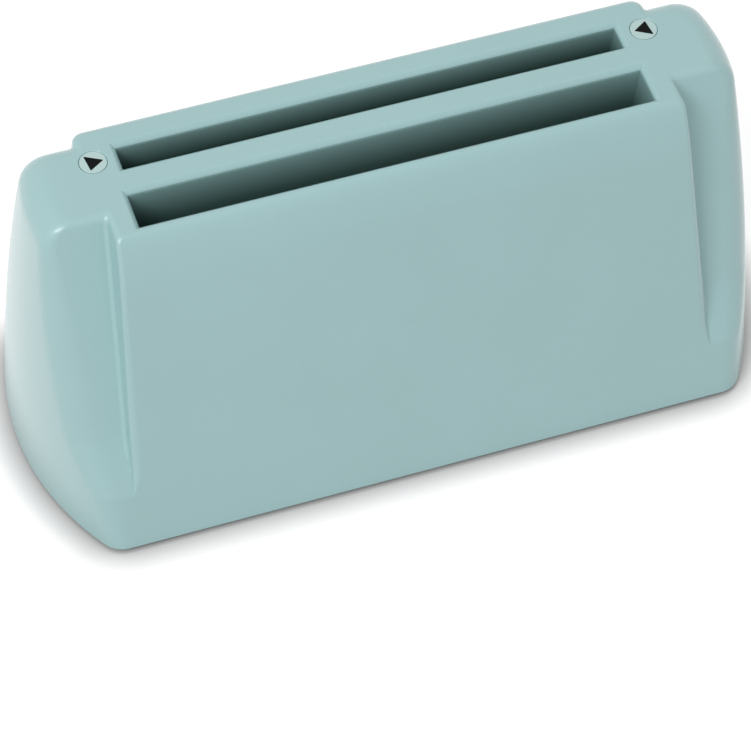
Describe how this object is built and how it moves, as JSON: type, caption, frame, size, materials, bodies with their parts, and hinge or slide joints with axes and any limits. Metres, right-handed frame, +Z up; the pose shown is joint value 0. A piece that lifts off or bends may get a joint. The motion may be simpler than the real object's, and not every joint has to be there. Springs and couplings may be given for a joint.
{
  "type": "paper folding machine",
  "caption": "Upright desk machine that folds a sheet fed into its rear top slot between rollers and sends it out of the front top slot.",
  "frame": {"origin": "on the surface that the feet stand on, under the middle of the case", "axes": "+X along the slots to the right, -Y to the front, +Z up"},
  "size_m": [0.3354, 0.132, 0.155],
  "materials": {
    "case_plastic": "fine moulded texture, pale grey green",
    "disc_plastic": "smooth moulded, pale grey green",
    "black_plastic": "moulded black",
    "ivory_plastic": "natural acetal",
    "steel": "turned steel",
    "zinc_plate": "zinc plated sheet",
    "spring_steel": "drawn wire",
    "rubber": "matt ground rubber",
    "bronze": "sintered bronze",
    "board_green": "green circuit board"
  },
  "bodies": {
    "case_and_frame": {"upper_housing": "case_plastic", "left_indicator_disc": "disc_plastic", "right_indicator_disc": "disc_plastic", "base_plate": "black_plastic", "foot_front_left": "rubber", "foot_rear_left": "rubber", "foot_front_right": "rubber", "foot_rear_right": "rubber", "base_screw_front_left": "zinc_plate", "base_screw_rear_left": "zinc_plate", "base_screw_front_right": "zinc_plate", "base_screw_rear_right": "zinc_plate", "frame_screw_left_front": "zinc_plate", "frame_screw_left_rear": "zinc_plate", "frame_screw_right_front": "zinc_plate", "frame_screw_right_rear": "zinc_plate", "left_side_frame": "zinc_plate", "right_side_frame": "zinc_plate", "left_middle_bush": "bronze", "right_middle_bush": "bronze", "front_tie_bar": "steel", "rear_tie_bar": "steel", "drive_motor": "steel", "motor_screw_front": "zinc_plate", "motor_screw_rear": "zinc_plate", "idler_stud": "steel", "rear_left_carrier_spring": "spring_steel", "rear_right_carrier_spring": "spring_steel", "front_left_carrier_spring": "spring_steel", "front_right_carrier_spring": "spring_steel", "rear_fold_plate": "zinc_plate", "front_fold_plate": "zinc_plate", "fold_stop": "black_plastic", "buckle_guide": "zinc_plate", "infeed_guide": "black_plastic", "outfeed_guide": "black_plastic", "centre_guide": "black_plastic", "sensor_lever_pin": "steel", "sensor_bracket": "ivory_plastic", "paper_sensor": "black_plastic", "control_board": "board_green", "power_inlet": "black_plastic", "rocker_switch_body": "black_plastic"},
    "middle_roller": {"middle_roller_shaft": "steel", "middle_roller_sleeve": "rubber", "middle_roller_gear": "ivory_plastic"},
    "rear_carriers": {"rear_left_bearing_carrier": "ivory_plastic", "rear_right_bearing_carrier": "ivory_plastic"},
    "rear_roller": {"rear_roller_shaft": "steel", "rear_roller_sleeve": "rubber", "rear_roller_gear": "ivory_plastic"},
    "front_carriers": {"front_left_bearing_carrier": "ivory_plastic", "front_right_bearing_carrier": "ivory_plastic"},
    "front_roller": {"front_roller_shaft": "steel", "front_roller_sleeve": "rubber", "front_roller_gear": "ivory_plastic"},
    "idler": {"idler_gear": "ivory_plastic"},
    "pinion": {"motor_pinion": "ivory_plastic"},
    "sensor_lever_body": {"sensor_lever": "black_plastic"},
    "rocker": {"rocker_button": "black_plastic"}
  },
  "joints": [
    {"name": "middle_roller_spin", "type": "hinge", "parent": "case_and_frame", "child": "middle_roller", "pos_m": [0, 0.0072, 0.108], "axis": [1, 0, 0], "continuous": true},
    {"name": "rear_carrier_slide", "type": "slide", "parent": "case_and_frame", "child": "rear_carriers", "axis": [0, 1, 0], "range_m": [0, 0.001], "stiffness_N_per_m": 1500, "springref_m": -0.002, "deforming": ["rear_left_carrier_spring", "rear_right_carrier_spring"]},
    {"name": "front_carrier_slide", "type": "slide", "parent": "case_and_frame", "child": "front_carriers", "axis": [0, -1, 0], "range_m": [0, 0.001], "stiffness_N_per_m": 1500, "springref_m": -0.002, "deforming": ["front_left_carrier_spring", "front_right_carrier_spring"]},
    {"name": "rear_roller_spin", "type": "hinge", "parent": "rear_carriers", "child": "rear_roller", "pos_m": [0, 0.0297, 0.108], "axis": [1, 0, 0], "continuous": true},
    {"name": "front_roller_spin", "type": "hinge", "parent": "front_carriers", "child": "front_roller", "pos_m": [0, -0.0153, 0.108], "axis": [1, 0, 0], "continuous": true},
    {"name": "idler_spin", "type": "hinge", "parent": "case_and_frame", "child": "idler", "pos_m": [0, -0.004, 0.08398], "axis": [1, 0, 0], "continuous": true},
    {"name": "pinion_spin", "type": "hinge", "parent": "case_and_frame", "child": "pinion", "pos_m": [0, -0.00713, 0.06626], "axis": [1, 0, 0], "continuous": true},
    {"name": "sensor_lever_swing", "type": "hinge", "parent": "case_and_frame", "child": "sensor_lever_body", "pos_m": [0.04, 0.036, 0.1245], "axis": [1, 0, 0], "range_deg": [0, 12], "stiffness_Nm_per_rad": 0.002, "springref_deg": -28.65},
    {"name": "rocker_tilt", "type": "hinge", "parent": "case_and_frame", "child": "rocker", "pos_m": [-0.072, 0.057, 0.023], "axis": [1, 0, 0], "range_deg": [-14, 0]}
  ],
  "couplings": [
    {"joint": "rear_roller_spin", "follows": "middle_roller_spin", "ratio": -1.8125},
    {"joint": "front_roller_spin", "follows": "middle_roller_spin", "ratio": -1.8125},
    {"joint": "idler_spin", "follows": "middle_roller_spin", "ratio": -1.2083},
    {"joint": "pinion_spin", "follows": "middle_roller_spin", "ratio": 2.4167}
  ]
}
